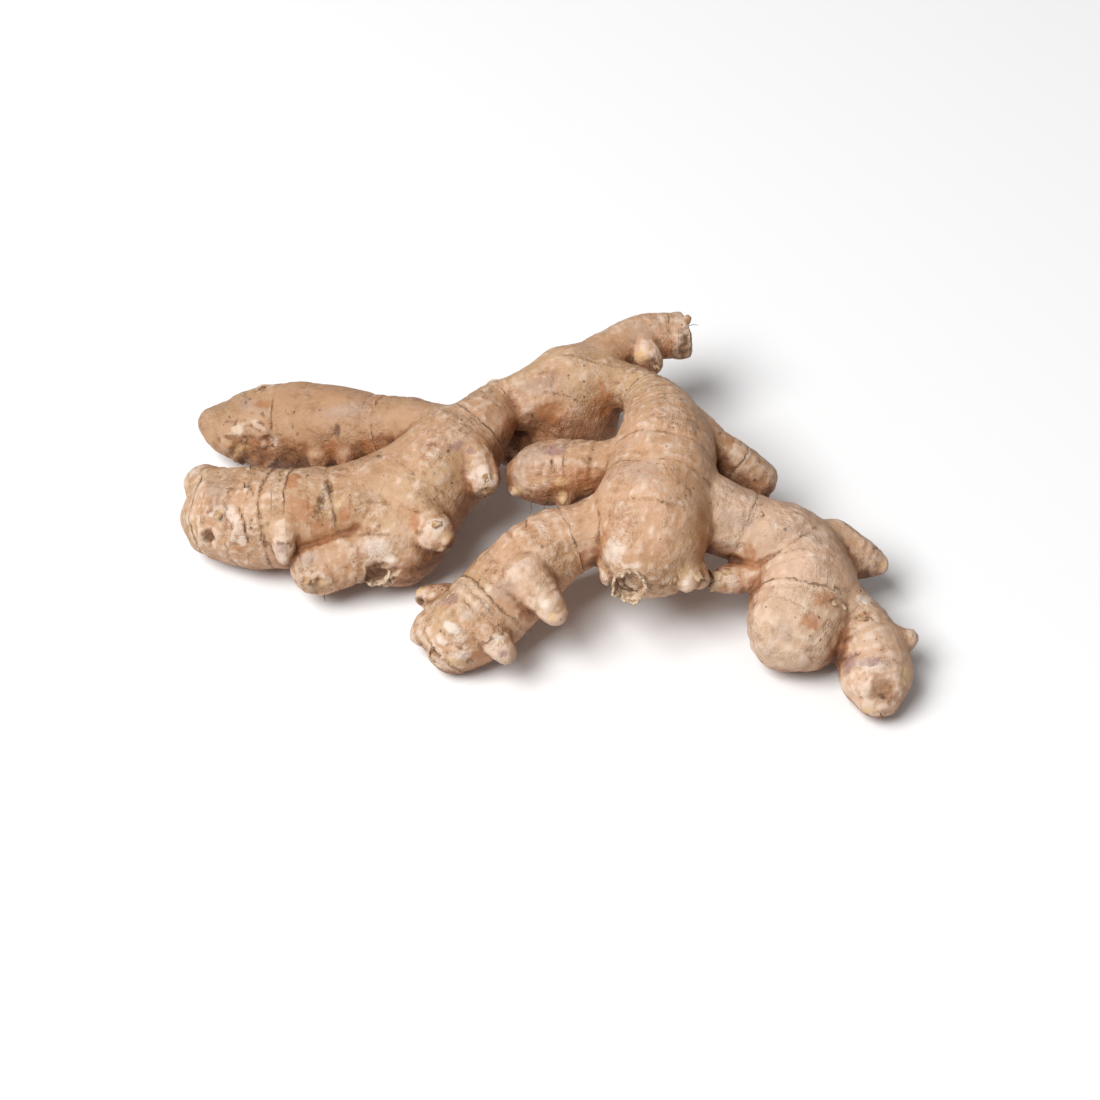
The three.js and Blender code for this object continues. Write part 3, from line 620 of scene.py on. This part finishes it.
cup, rim_share = np.zeros((2, len(points)))
for u, v, radius, depth, rim in SCARS:
    off = np.linalg.norm(points_part - on_skin(u, v), axis=1) / radius
    off = off * (1 + 0.45 * dimples + 0.3 * pocks)
    bowl, edge = np.clip(RIM_AT - off**2, 0, 1), hump(off - RIM_AT, RIM_WIDTH)
    edge = edge * np.clip(0.5 + 1.4 * dimples + 1.2 * pocks, 0, 1)  # a rim broken here and there
    relief += rim * edge * RIM_GAIN - depth * bowl * (1 + 0.4 * pocks)
    ripples = np.clip(RIPPLES_TO - off, 0, 1) * np.clip(off - RIPPLES_FROM, 0, 1)
    ripple_height = RIPPLE if radius < WIDE_SCAR else FAINT_RIPPLE
    relief += ripple_height * ripples * np.sin(off * radius * RIPPLE_RATE + 3 * dimples)
    # a cup's floor darkens with its depth: brown scar tissue and painted shade
    cup = np.maximum(cup, bowl * min(1, depth / DARK_DEPTH))
    rim_share = np.maximum(rim_share, edge * min(1, RIM_GAIN * rim))
for u, v, radius, height in KNOBS:
    off = np.linalg.norm(points_part - on_skin(u, v), axis=1) / radius * (1 + 0.6 * pocks)
    relief += height * (hump(off, 1) - DITCH * hump(off - DITCH_AT, DITCH_WIDTH))
relief -= CRACK_DEPTH * hump(crack_gap, CRACK_WIDTH) + FOLD_DEPTH * hump(fold_gap, FOLD_WIDTH)
relief += BARK_ROUGH * tone_amount["bark"] * pocks + CHALK_ROUGH * tone_amount["chalk"] * pocks
put_back(points + relief[:, None] * facing())

# Hollowness: how far each corner lies below its surroundings, in a narrow and a wide ring, and
# how much of the air above it other fingers and the table take. The skin's colour uses these
# for painted shade.
NARROW_ROUNDS, WIDE_ROUNDS, AGE_ROUNDS = 4, 38, 32
PROBES = ((4, 0.3), (9, 0.35), (16, 0.35))  # how far out, and its weight
points = places()
normals = facing()
narrow = averaged(points, NARROW_ROUNDS)
wide = averaged(narrow, WIDE_ROUNDS)
hollow = ((narrow - points) * normals).sum(axis=1)
deep = ((wide - points) * normals).sum(axis=1)
shut = np.zeros(len(points))
for reach, weight in PROBES:
    above = points + reach * normals
    air = np.minimum(root_distance(above)[0], above[:, 2])
    shut += weight * np.clip(1 - air / reach, 0, 1)
# Painted shade: the side turned away from the lamp gets a deeper orange-brown, for its shading.
# The fingers differ in age: above 0 is old and brown, below 0 young and pale.
KEY_LIGHT_WAY = np.array([-0.63, -0.33, 0.70])
painted_lee_shade = np.clip(0.6 - normals @ KEY_LIGHT_WAY, 0, 1)
AGES = {"left_upper": 1.0, "upper_bud_a": 0.9, "upper_bud_b": 0.9, "left_middle": 0.45,
        "toe": 0.55, "left_finger": 0.5, "lobe": 0.45, "lobe_knob": 0.5, "shoulder": 0.2,
        "stump": 0.45, "right_nub": 0.35, "branch_nub_high": 0.1, "left_branch": 0.1,
        "right_arm": -0.5, "end_finger": -0.4, "right_prong": -0.2, "arm_nub": -0.3}
age = np.array([AGES.get(name, 0.0) for name, *_ in FINGERS])[owner][:, None]
age = averaged(age, AGE_ROUNDS)
# One number or one vector for each corner, for the material to read.
for name, values in {
    "ring_gap": ring_gap, "ring_show": ring_show, "crack_gap": crack_gap, "fold_gap": fold_gap,
    "cup": cup, "rim": rim_share, "clear": fade, "tipness": tipness, "hollow": hollow,
    "deep": deep, "shut": shut, "painted_lee_shade": painted_lee_shade, "age": age[:, 0],
    "flow": np.column_stack([along, side, lift]), **tone_amount,
}.items():
    vector = values.ndim == 2
    attribute = skin.attributes.new(name, "FLOAT_VECTOR" if vector else "FLOAT", "POINT")
    attribute.data.foreach_set("vector" if vector else "value",
                               values.astype(np.float32).ravel())

# The skin's finish: thin, papery and matt. Its tan wanders between rosy and straw, what lies
# hollow or shut in and the side turned from the lamp get a painted shade of deep orange-brown,
# rings and cracks are dark broken lines, and worn knuckles show chalky.
skin_finish = bpy.data.materials.new("ginger_skin")
skin_finish.use_nodes = True
nodes, links = skin_finish.node_tree.nodes, skin_finish.node_tree.links
shader = nodes["Principled BSDF"]


def node(kind, inputs, **settings):
    """A node with its settings, and with each input linked or set."""
    made = nodes.new("ShaderNode" + kind)
    for name, value in settings.items():
        setattr(made, name, value)
    for name, value in inputs.items():
        if isinstance(value, bpy.types.NodeSocket):
            links.new(value, made.inputs[name])
        else:
            made.inputs[name].default_value = value
    return made


def kept(name):
    """The number stored under a name."""
    return node("Attribute", {}, attribute_name=name).outputs["Fac"]


def sum_of(a, b):
    """Two numbers added."""
    return node("Math", {0: a, 1: b}, operation="ADD").outputs[0]


def times(a, b):
    """Two numbers multiplied."""
    return node("Math", {0: a, 1: b}, operation="MULTIPLY").outputs[0]


def between(value, low, high):
    """0 where the value is at low, 1 at high, smooth between them."""
    return node("MapRange", {"Value": value, "From Min": low, "From Max": high},
                interpolation_type="SMOOTHSTEP").outputs["Result"]


def speckle(size, detail=3, vector=None, roughness=0.55):
    """Smooth noise round 0.5, with blots of about the size in mm."""
    source = place if vector is None else vector
    return node("TexNoise", {"Vector": source, "Scale": 1 / size, "Detail": detail,
                             "Roughness": roughness}).outputs["Fac"]


def tinted(colour, other, amount):
    """A colour, mixed towards another by an amount."""
    mixed = node("Mix", {"Factor": amount}, data_type="RGBA")
    for socket, value in ((mixed.inputs[6], colour), (mixed.inputs[7], other)):
        if isinstance(value, bpy.types.NodeSocket):
            links.new(value, socket)
        else:
            socket.default_value = (*value, 1)
    return mixed.outputs[2]


in_metres = node("TexCoord", {}).outputs["Object"]
place = node("VectorMath", {0: in_metres, 3: MM_PER_METRE}, operation="SCALE").outputs[0]
flow = node("Attribute", {}, attribute_name="flow").outputs["Vector"]
lengthwise = node("VectorMath", {0: flow, 1: (0.12, 1, 1)}, operation="MULTIPLY").outputs[0]
crosswise = node("VectorMath", {0: flow, 1: (1, 0.15, 0.15)}, operation="MULTIPLY").outputs[0]

broad, middling, small, grain = speckle(26), speckle(7, 4), speckle(1.8, 5), speckle(0.45, 3)
fibres = speckle(0.8, 4, lengthwise)
hoops = speckle(0.9, 4, crosswise)
blots = between(speckle(3.2, 5, roughness=0.65), 0.36, 0.64)


def dots(spacing, size, share):
    """Round specks: about one in each cell of the spacing in mm, over a share of the skin."""
    cells = node("TexVoronoi", {"Vector": place, "Scale": 1 / spacing})
    chosen = between(node("SeparateColor", {0: cells.outputs["Color"]}).outputs[0], share, 0)
    return between(sum_of(cells.outputs["Distance"], times(chosen, -size / spacing)), 0.06, 0)


def ragged(name):
    """A patch's share: uneven inside, and its edge broken up by the skin's own blots."""
    uneven = sum_of(times(blots, 0.5), times(between(small, 0.38, 0.62), 0.4))
    return between(sum_of(times(kept(name), 1.45), sum_of(uneven, -1)), 0, 1)


# Where the skin is coarse, worn, in shade or chalky, and where soil clings to it.
rough = sum_of(speckle(10, 3), times(sum_of(kept("tipness"), kept("shut")), 0.16))
rough = sum_of(times(between(rough, 0.46, 0.66), 0.9), 0.2)
worn_ridge = times(between(kept("hollow"), -0.03, -0.2), between(kept("age"), 1.1, 0.3))
# painted shade: darker where the skin lies deep or shut in, broken up by blots
shade = sum_of(between(kept("deep"), 0.2, 1.8), between(kept("shut"), 0.05, 0.75))
shade = sum_of(shade, times(sum_of(blots, -0.5), 0.35))
fresh_chalk = times(ragged("chalk"), between(kept("age"), 2.0, 0))  # old skin is less chalky
dirt = times(ragged("bark"), between(speckle(1.5, 5, roughness=0.75), 0.42, 0.62))
dirty = between(speckle(13, 2), 0.45, 0.6)
flecks = sum_of(times(dots(2.4, 0.34, 0.9), dirty), times(dots(6.5, 0.42, 0.6), 0.9))

# Thin dark lines where the rings, folds and cracks are, with a pale torn lip beyond a ring.
waver = times(sum_of(small, -0.5), 2.2)
gap = sum_of(kept("ring_gap"), waver)
near = node("Math", {0: gap}, operation="ABSOLUTE").outputs[0]
shown = sum_of(sum_of(kept("ring_show"), times(blots, 0.6)), times(middling, 1.2))
shown = times(between(shown, 1.35, 1.9), kept("clear"))
ring_line = times(between(near, 0.28, 0.05), shown)
ring_lip = times(times(between(gap, 0.1, 0.5), between(gap, 1.5, 0.6)), shown)
fold_line = times(between(sum_of(kept("fold_gap"), waver), 0.34, 0.06),
                  sum_of(times(blots, 0.6), 0.3))
crack_line = times(between(sum_of(kept("crack_gap"), times(waver, 0.4)), 0.4, 0.1),
                   sum_of(times(blots, 0.6), 0.4))

ROSY_TAN, STRAW_TAN = (0.545, 0.31, 0.178), (0.505, 0.312, 0.17)
PAINTS = [  # laid over the tan one after another: colour, where it shows, and how strong
    # the grain of the skin, brown in its low places and pale on its high ones
    ((0.36, 0.18, 0.085), between(middling, 0.48, 0.68), 0.45),
    ((0.70, 0.52, 0.40), between(middling, 0.5, 0.33), 0.34),
    ((0.31, 0.145, 0.062), times(between(small, 0.52, 0.66), rough), 0.65),
    ((0.73, 0.57, 0.46), times(between(small, 0.48, 0.34), rough), 0.48),
    ((0.31, 0.155, 0.075), times(between(fibres, 0.52, 0.68), rough), 0.4),
    ((0.27, 0.13, 0.062), times(between(grain, 0.52, 0.68), rough), 0.4),
    ((0.70, 0.50, 0.36), between(grain, 0.5, 0.35), 0.14),
    # age and wear: ridges and young tips are paler and old fingers browner; grooves are darker, as
    # soil and painted shade
    ((0.37, 0.19, 0.09), between(kept("age"), 0, 1), 0.5),
    ((0.72, 0.54, 0.42), between(kept("age"), 0, -0.8), 0.5),
    ((0.77, 0.61, 0.49), worn_ridge, 0.6),
    ((0.20, 0.085, 0.036), between(kept("hollow"), 0.03, 0.22), 0.8),
    ((0.68, 0.49, 0.34), times(kept("tipness"), between(hoops, 0.55, 0.4)), 0.5),
    # painted shade: the side turned from the lamp, and what lies hollow or shut in, a deep
    # orange-brown
    ((0.43, 0.18, 0.062), kept("painted_lee_shade"), 0.66),
    ((0.34, 0.13, 0.046), between(shade, 0.2, 1.2), 0.8),
    ((0.11, 0.038, 0.014), between(shade, 0.75, 1.55), 0.9),
    # the patches and the scars
    ((0.43, 0.31, 0.245), ragged("ash"), 0.45),
    ((0.40, 0.15, 0.05), ragged("rust"), 0.65),
    ((0.80, 0.67, 0.57), fresh_chalk, 0.72),
    ((0.32, 0.18, 0.16), ragged("lilac"), 0.75),
    ((0.72, 0.48, 0.24), ragged("butter"), 0.65),
    ((0.70, 0.55, 0.41), times(kept("rim"), blots), 0.7),
    # the cups' floors: brown scar tissue with painted shade, darker the deeper the cup
    ((0.22, 0.115, 0.055), kept("cup"), 0.75),
    ((0.25, 0.13, 0.065), ragged("bark"), 0.5),
    ((0.12, 0.055, 0.025), dirt, 0.8),
    # the lines, then specks of soil
    ((0.70, 0.51, 0.36), ring_lip, 0.45),
    ((0.20, 0.105, 0.06), ring_line, 0.75),
    ((0.22, 0.115, 0.065), fold_line, 0.7),
    ((0.06, 0.028, 0.015), crack_line, 0.85),
    ((0.09, 0.042, 0.02), flecks, 0.75),
]
colour = tinted(ROSY_TAN, STRAW_TAN, between(broad, 0.38, 0.62))
for paint, share, strength in PAINTS:
    colour = tinted(colour, paint, times(share, strength))
links.new(colour, shader.inputs["Base Color"])

# The same marks as relief that is too fine for the mesh.
BUMP_HEIGHT = 0.0010  # metres
height = times(sum_of(times(grain, 0.30), times(small, 0.75)), sum_of(times(rough, 0.8), 0.25))
height = sum_of(height, times(times(times(fibres, kept("clear")), rough), 0.5))
height = sum_of(height, times(times(hoops, sum_of(kept("tipness"), 0.2)), 0.6))
height = sum_of(height, times(sum_of(ring_line, fold_line), -0.35))
height = sum_of(height, times(sum_of(ring_lip, dirt), 0.3))
height = sum_of(height, times(crack_line, -0.5))
bump = node("Bump", {"Height": height, "Distance": BUMP_HEIGHT, "Strength": 0.8})
links.new(bump.outputs["Normal"], shader.inputs["Normal"])
links.new(between(sum_of(small, times(grain, 0.5)), 1.4, 0.2), shader.inputs["Roughness"])
shader.inputs["Subsurface Weight"].default_value = 0.1
shader.inputs["Subsurface Radius"].default_value = (1.0, 0.45, 0.25)
shader.inputs["Subsurface Scale"].default_value = 0.0015
shader.inputs["Specular IOR Level"].default_value = 0.42
skin.materials.clear()
skin.materials.append(skin_finish)
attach(ginger, "root")
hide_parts("rhizome")

# The stem scar's collar: where an old stem withered and broke off, a short cup of dry pale
# fibres still stands out of the knuckle. It grew out of the skin, so its foot is sunk in it.
finished_skin = BVHTree.FromPolygons([v.co.copy() for v in skin.vertices],
                                     [tuple(p.vertices) for p in skin.polygons])


def on_finish(u, v):
    """Where a pixel of the photograph meets the finished skin, and the way out of it there."""
    spot, way_out = seen_at(u, v, finished_skin)
    return spot, way_out if way_out.dot(toward_eye) > -0.5 else -way_out


def standing(origin, up, ahead):
    """The turn and shift that put local Z along up and local X near ahead, at the origin."""
    up = up.normalized()
    ahead = (ahead - ahead.dot(up) * up).normalized()
    turn = Matrix((ahead, up.cross(ahead), up)).transposed().to_4x4()
    return Matrix.Translation(origin) @ turn


def dry_fibre(name, light, dark, blot):
    """A dry plant fibre: two tones in blots of the given size in metres, quite matt."""
    fibre = bpy.data.materials.new(name)
    fibre.use_nodes = True
    tree = fibre.node_tree
    mesh_place = tree.nodes.new("ShaderNodeTexCoord")
    streak = tree.nodes.new("ShaderNodeTexNoise")
    streak.inputs["Scale"].default_value = 1 / blot
    streak.inputs["Detail"].default_value = 4
    tones = tree.nodes.new("ShaderNodeValToRGB")
    for element, position, tone in zip(tones.color_ramp.elements, (0.38, 0.62), (dark, light)):
        element.position = position
        element.color = (*tone, 1)
    principled = tree.nodes["Principled BSDF"]
    principled.inputs["Roughness"].default_value = 0.85
    principled.inputs["Specular IOR Level"].default_value = 0.2
    tree.links.new(mesh_place.outputs["Object"], streak.inputs["Vector"])
    tree.links.new(streak.outputs["Fac"], tones.inputs["Fac"])
    tree.links.new(tones.outputs["Color"], principled.inputs["Base Color"])
    return fibre


COLLAR_SIDES, COLLAR_CUTS = 72, 7
FOOT, FLARE, CRUMPLE = 0.86, 0.18, 0.13  # in radii
TEAR, SUNK = 0.55, 0.35  # in heights


def stem_collar(u, v, way, radius, height, wall):
    """A ragged cup round a pixel: a tube that opens a little towards its torn rim."""
    bpy.ops.object.select_all(action="DESELECT")
    bpy.ops.mesh.primitive_cylinder_add(vertices=COLLAR_SIDES, radius=1, depth=1,
                                        end_fill_type="NOTHING")
    collar = bpy.context.object
    bpy.ops.object.mode_set(mode="EDIT")
    bpy.ops.mesh.select_all(action="DESELECT")
    bpy.ops.object.mode_set(mode="OBJECT")
    for edge in collar.data.edges:
        low, high = (collar.data.vertices[i].co.z for i in edge.vertices)
        edge.select = low != high
    bpy.ops.object.mode_set(mode="EDIT")
    bpy.ops.mesh.subdivide(number_cuts=COLLAR_CUTS)
    bpy.ops.object.mode_set(mode="OBJECT")
    for corner in collar.data.vertices:
        level = corner.co.z + 0.5
        round_it = Vector((corner.co.x, corner.co.y, 0)).normalized()
        torn = noise.noise(round_it * 1.3 + Vector((u, v, 0))) + 0.5 * noise.noise(round_it * 5)
        crumple = noise.noise(round_it * 3.5 + Vector((0, 0, 2 * level)))
        grown = radius * (FOOT + FLARE * level + CRUMPLE * crumple * level)
        corner.co = round_it * grown
        corner.co.z = height * level * (1 + TEAR * torn) - SUNK * height
    thick = collar.modifiers.new("wall", "SOLIDIFY")
    thick.thickness, thick.offset = wall, 0
    bpy.ops.object.modifier_apply(modifier=thick.name)
    collar.data.transform(standing(on_finish(u, v)[0], Vector(way), image_right))
    bpy.ops.object.shade_smooth()
    return collar


def joined(pieces, name, material):
    """The pieces as one, with its material, riding on the root."""
    bpy.ops.object.select_all(action="DESELECT")
    for piece in pieces:
        piece.select_set(True)
    bpy.context.view_layer.objects.active = pieces[0]
    bpy.ops.object.join()
    pieces[0].name = name
    pieces[0].data.materials.clear()
    pieces[0].data.materials.append(material)
    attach(pieces[0], "root")


# Each one's pixel, the way that it points, and its radius, height and wall in metres.
joined([stem_collar(630, 582, (-0.12, -0.93, 0.34), 0.0044, 0.0044, 0.0007),
        stem_collar(376, 571, (-0.05, -0.85, 0.5), 0.0037, 0.0018, 0.0006),
        stem_collar(437, 653, (-0.4, -0.8, 0.4), 0.0019, 0.0018, 0.0005)],
       "stem_scar_collars",
       dry_fibre("dry_fibre", (0.70, 0.55, 0.40), (0.34, 0.21, 0.12), 0.0012))

# Papery scales: the dry brown leaves that wrapped each bud and ring, of which scraps are left.
# Each is a thin curled sheet torn at its free end, and its root end is stuck under the skin.
SCALES = [  # pixel, length and width in mm, which way it points in the view, lift and curl in mm
    (268, 389, 4.6, 3.4, 205, 0.3, 0.1), (683, 573, 3.6, 4.6, -60, 0.6, -0.7),
    (694, 571, 3.4, 3.2, -40, 0.9, -0.3), (676, 577, 2.8, 2.6, -100, 0.7, 0.3),
    (722, 577, 4.2, 3.2, 175, 0.7, 0.4), (722, 586, 3.8, 2.8, 190, 0.6, 0.5),
    (733, 573, 3.0, 2.6, 165, 0.8, 0.2), (868, 614, 4.0, 3.2, 215, 0.8, 0.5),
    (546, 597, 3.2, 3.6, -65, 0.4, -0.4), (434, 519, 3.0, 3.4, -70, 0.4, -0.3),
    (482, 470, 3.2, 3.8, -70, 0.5, -0.4), (311, 574, 3.4, 3.8, -120, 0.4, -0.3),
    (686, 322, 2.6, 2.4, 60, 0.8, 0.5), (832, 599, 2.4, 1.8, -60, 0.5, 0.4),
    (842, 603, 2.0, 1.6, -50, 0.5, 0.4), (222, 508, 3.6, 2.4, -120, 0.3, 0.3),
    (498, 636, 2.6, 3.0, -75, 0.3, -0.3), (760, 509, 2.4, 1.6, -80, 0.4, 0.3),
    (656, 360, 3.0, 3.0, -60, 0.5, -0.2), (866, 562, 3.6, 3.6, -20, 0.4, -0.3),
]
ROOT_END_SUNK = 0.3  # mm
SHEET_THICKNESS = 0.00022  # metres
scales = []
for u, v, length, width, points_to, lifted, curl in SCALES:
    bpy.ops.object.select_all(action="DESELECT")
    bpy.ops.mesh.primitive_grid_add(x_subdivisions=10, y_subdivisions=8, size=1)
    scale = bpy.context.object
    for corner in scale.data.vertices:
        ahead, across = corner.co.x + 0.5, 2 * corner.co.y
        torn = (noise.noise(Vector((u + 2.2 * across, v, 0)))
                + 0.4 * noise.noise(Vector((u, 6 * across, v))))
        broad = math.sin(math.pi * (0.22 + 0.62 * ahead)) ** 0.6
        ruffle = noise.noise(Vector((u + 2 * ahead, v + 2 * across, 3)))
        corner.co = Vector((
            length * (ahead * (1 + 0.45 * torn) - 0.12),
            0.5 * width * across * broad,
            (lifted * ahead + curl * ahead**2 - 0.16 * width * across**2 + 0.3 * ruffle * ahead
             - ROOT_END_SUNK),
        )) / MM_PER_METRE
    sheet = scale.modifiers.new("sheet", "SOLIDIFY")
    sheet.thickness, sheet.offset = SHEET_THICKNESS, 0
    bpy.ops.object.modifier_apply(modifier=sheet.name)
    spot, way_out = on_finish(u, v)
    heading = math.radians(points_to)
    scale.data.transform(standing(spot, way_out, math.cos(heading) * image_right
                                  + math.sin(heading) * image_up))
    bpy.ops.object.shade_smooth()
    scales.append(scale)
joined(scales, "papery_scales",
       dry_fibre("dry_scale", (0.62, 0.45, 0.29), (0.36, 0.20, 0.10), 0.0020))

# Rootlets: the thin dry roots that fed the plant, snapped off short when it was cleaned. Each
# is a tapering brown thread that grew out of the skin and droops a little.
ROOTLETS = [  # pixel, way in the view, length, droop and thickness in mm
    (485, 496, -92, 4.2, 0.6, 0.26), (478, 494, -110, 2.4, 0.3, 0.22),
    (420, 546, -100, 2.2, 0.3, 0.3), (431, 549, -80, 3.0, 0.4, 0.24),
    (446, 546, -70, 2.0, 0.2, 0.28), (532, 500, -88, 3.6, 0.5, 0.2),
    (545, 501, -95, 2.2, 0.3, 0.2), (688, 326, 20, 3.2, 1.4, 0.2), (234, 466, 100, 1.6, 0, 0.4),
    (250, 469, 80, 1.4, 0, 0.4), (238, 459, -100, 2.0, 0.2, 0.3), (531, 414, -40, 3.4, 0.2, 0.22),
    (508, 461, -60, 2.6, 0.3, 0.24), (300, 592, -100, 1.8, 0.2, 0.3),
    (324, 595, -80, 1.8, 0.2, 0.3), (702, 579, -20, 2.2, 0.4, 0.24),
    (880, 713, -60, 1.8, 0.2, 0.4), (389, 578, -30, 2.0, 0.3, 0.3),
    (358, 586, -120, 2.2, 0.2, 0.26), (655, 362, -60, 2.4, 0.3, 0.35),
    (649, 363, -90, 2.0, 0.2, 0.3),
]
ROOTLET_SUNK = 0.0006  # metres
rootlets = []
for u, v, points_to, length, droop, thickness in ROOTLETS:
    spot, way_out = on_finish(u, v)
    heading = math.radians(points_to)
    ahead = math.cos(heading) * image_right + math.sin(heading) * image_up + 0.6 * way_out
    ahead.normalize()
    tip = spot + length / MM_PER_METRE * ahead - Vector((0, 0, droop / MM_PER_METRE))
    bpy.ops.object.select_all(action="DESELECT")
    bpy.ops.curve.primitive_bezier_curve_add()
    thread = bpy.context.object
    thread.data.bevel_depth, thread.data.bevel_resolution = thickness / (2 * MM_PER_METRE), 1
    thread.data.resolution_u, thread.data.use_fill_caps = 8, True
    root_end, free_end = thread.data.splines[0].bezier_points
    foot = spot - ROOTLET_SUNK * way_out
    for end, where, radius in ((root_end, foot, 1.2), (free_end, tip, 0.4)):
        end.handle_left_type = end.handle_right_type = "FREE"
        end.co = end.handle_left = end.handle_right = where
        end.radius = radius
    root_end.handle_right = spot + length / (2.5 * MM_PER_METRE) * (way_out + 0.5 * ahead)
    free_end.handle_left = tip - length / (3 * MM_PER_METRE) * (ahead - Vector((0.5, 0, 0.4)))
    bpy.ops.object.convert(target="MESH")
    rootlets.append(thread)
joined(rootlets, "rootlets",
       dry_fibre("dry_root", (0.20, 0.12, 0.07), (0.08, 0.045, 0.025), 0.0008))

# The table: a plain white sheet far wider than the view, which the root lies on.
bpy.ops.object.select_all(action="DESELECT")
bpy.ops.mesh.primitive_plane_add(size=6, location=(0, 0, 0))
table = bpy.context.object
table.name = "table"
paper = bpy.data.materials.new("white_paper")
paper.use_nodes = True
matt_white = paper.node_tree.nodes["Principled BSDF"]
matt_white.inputs["Base Color"].default_value = (0.9, 0.9, 0.9, 1)
matt_white.inputs["Roughness"].default_value = 0.7
table.data.materials.append(paper)

# The light: white all round, with one wide soft lamp high up on the left.
world = bpy.data.worlds.new("studio")
world.use_nodes = True
sky = world.node_tree.nodes["Background"]
sky.inputs["Color"].default_value = (1, 1, 1, 1)
sky.inputs["Strength"].default_value = 0.25
bpy.context.scene.world = world
bpy.ops.object.light_add(type="AREA", location=(-0.85, -0.55, 1.65))
lamp = bpy.context.object
lamp.name = "soft_lamp"
lamp.data.size = 1.1
lamp.data.energy = 45.5
lamp.rotation_euler = (Vector((0, 0, 0)) - lamp.location).to_track_quat("-Z", "Y").to_euler()
bpy.context.scene.view_settings.view_transform = "Standard"
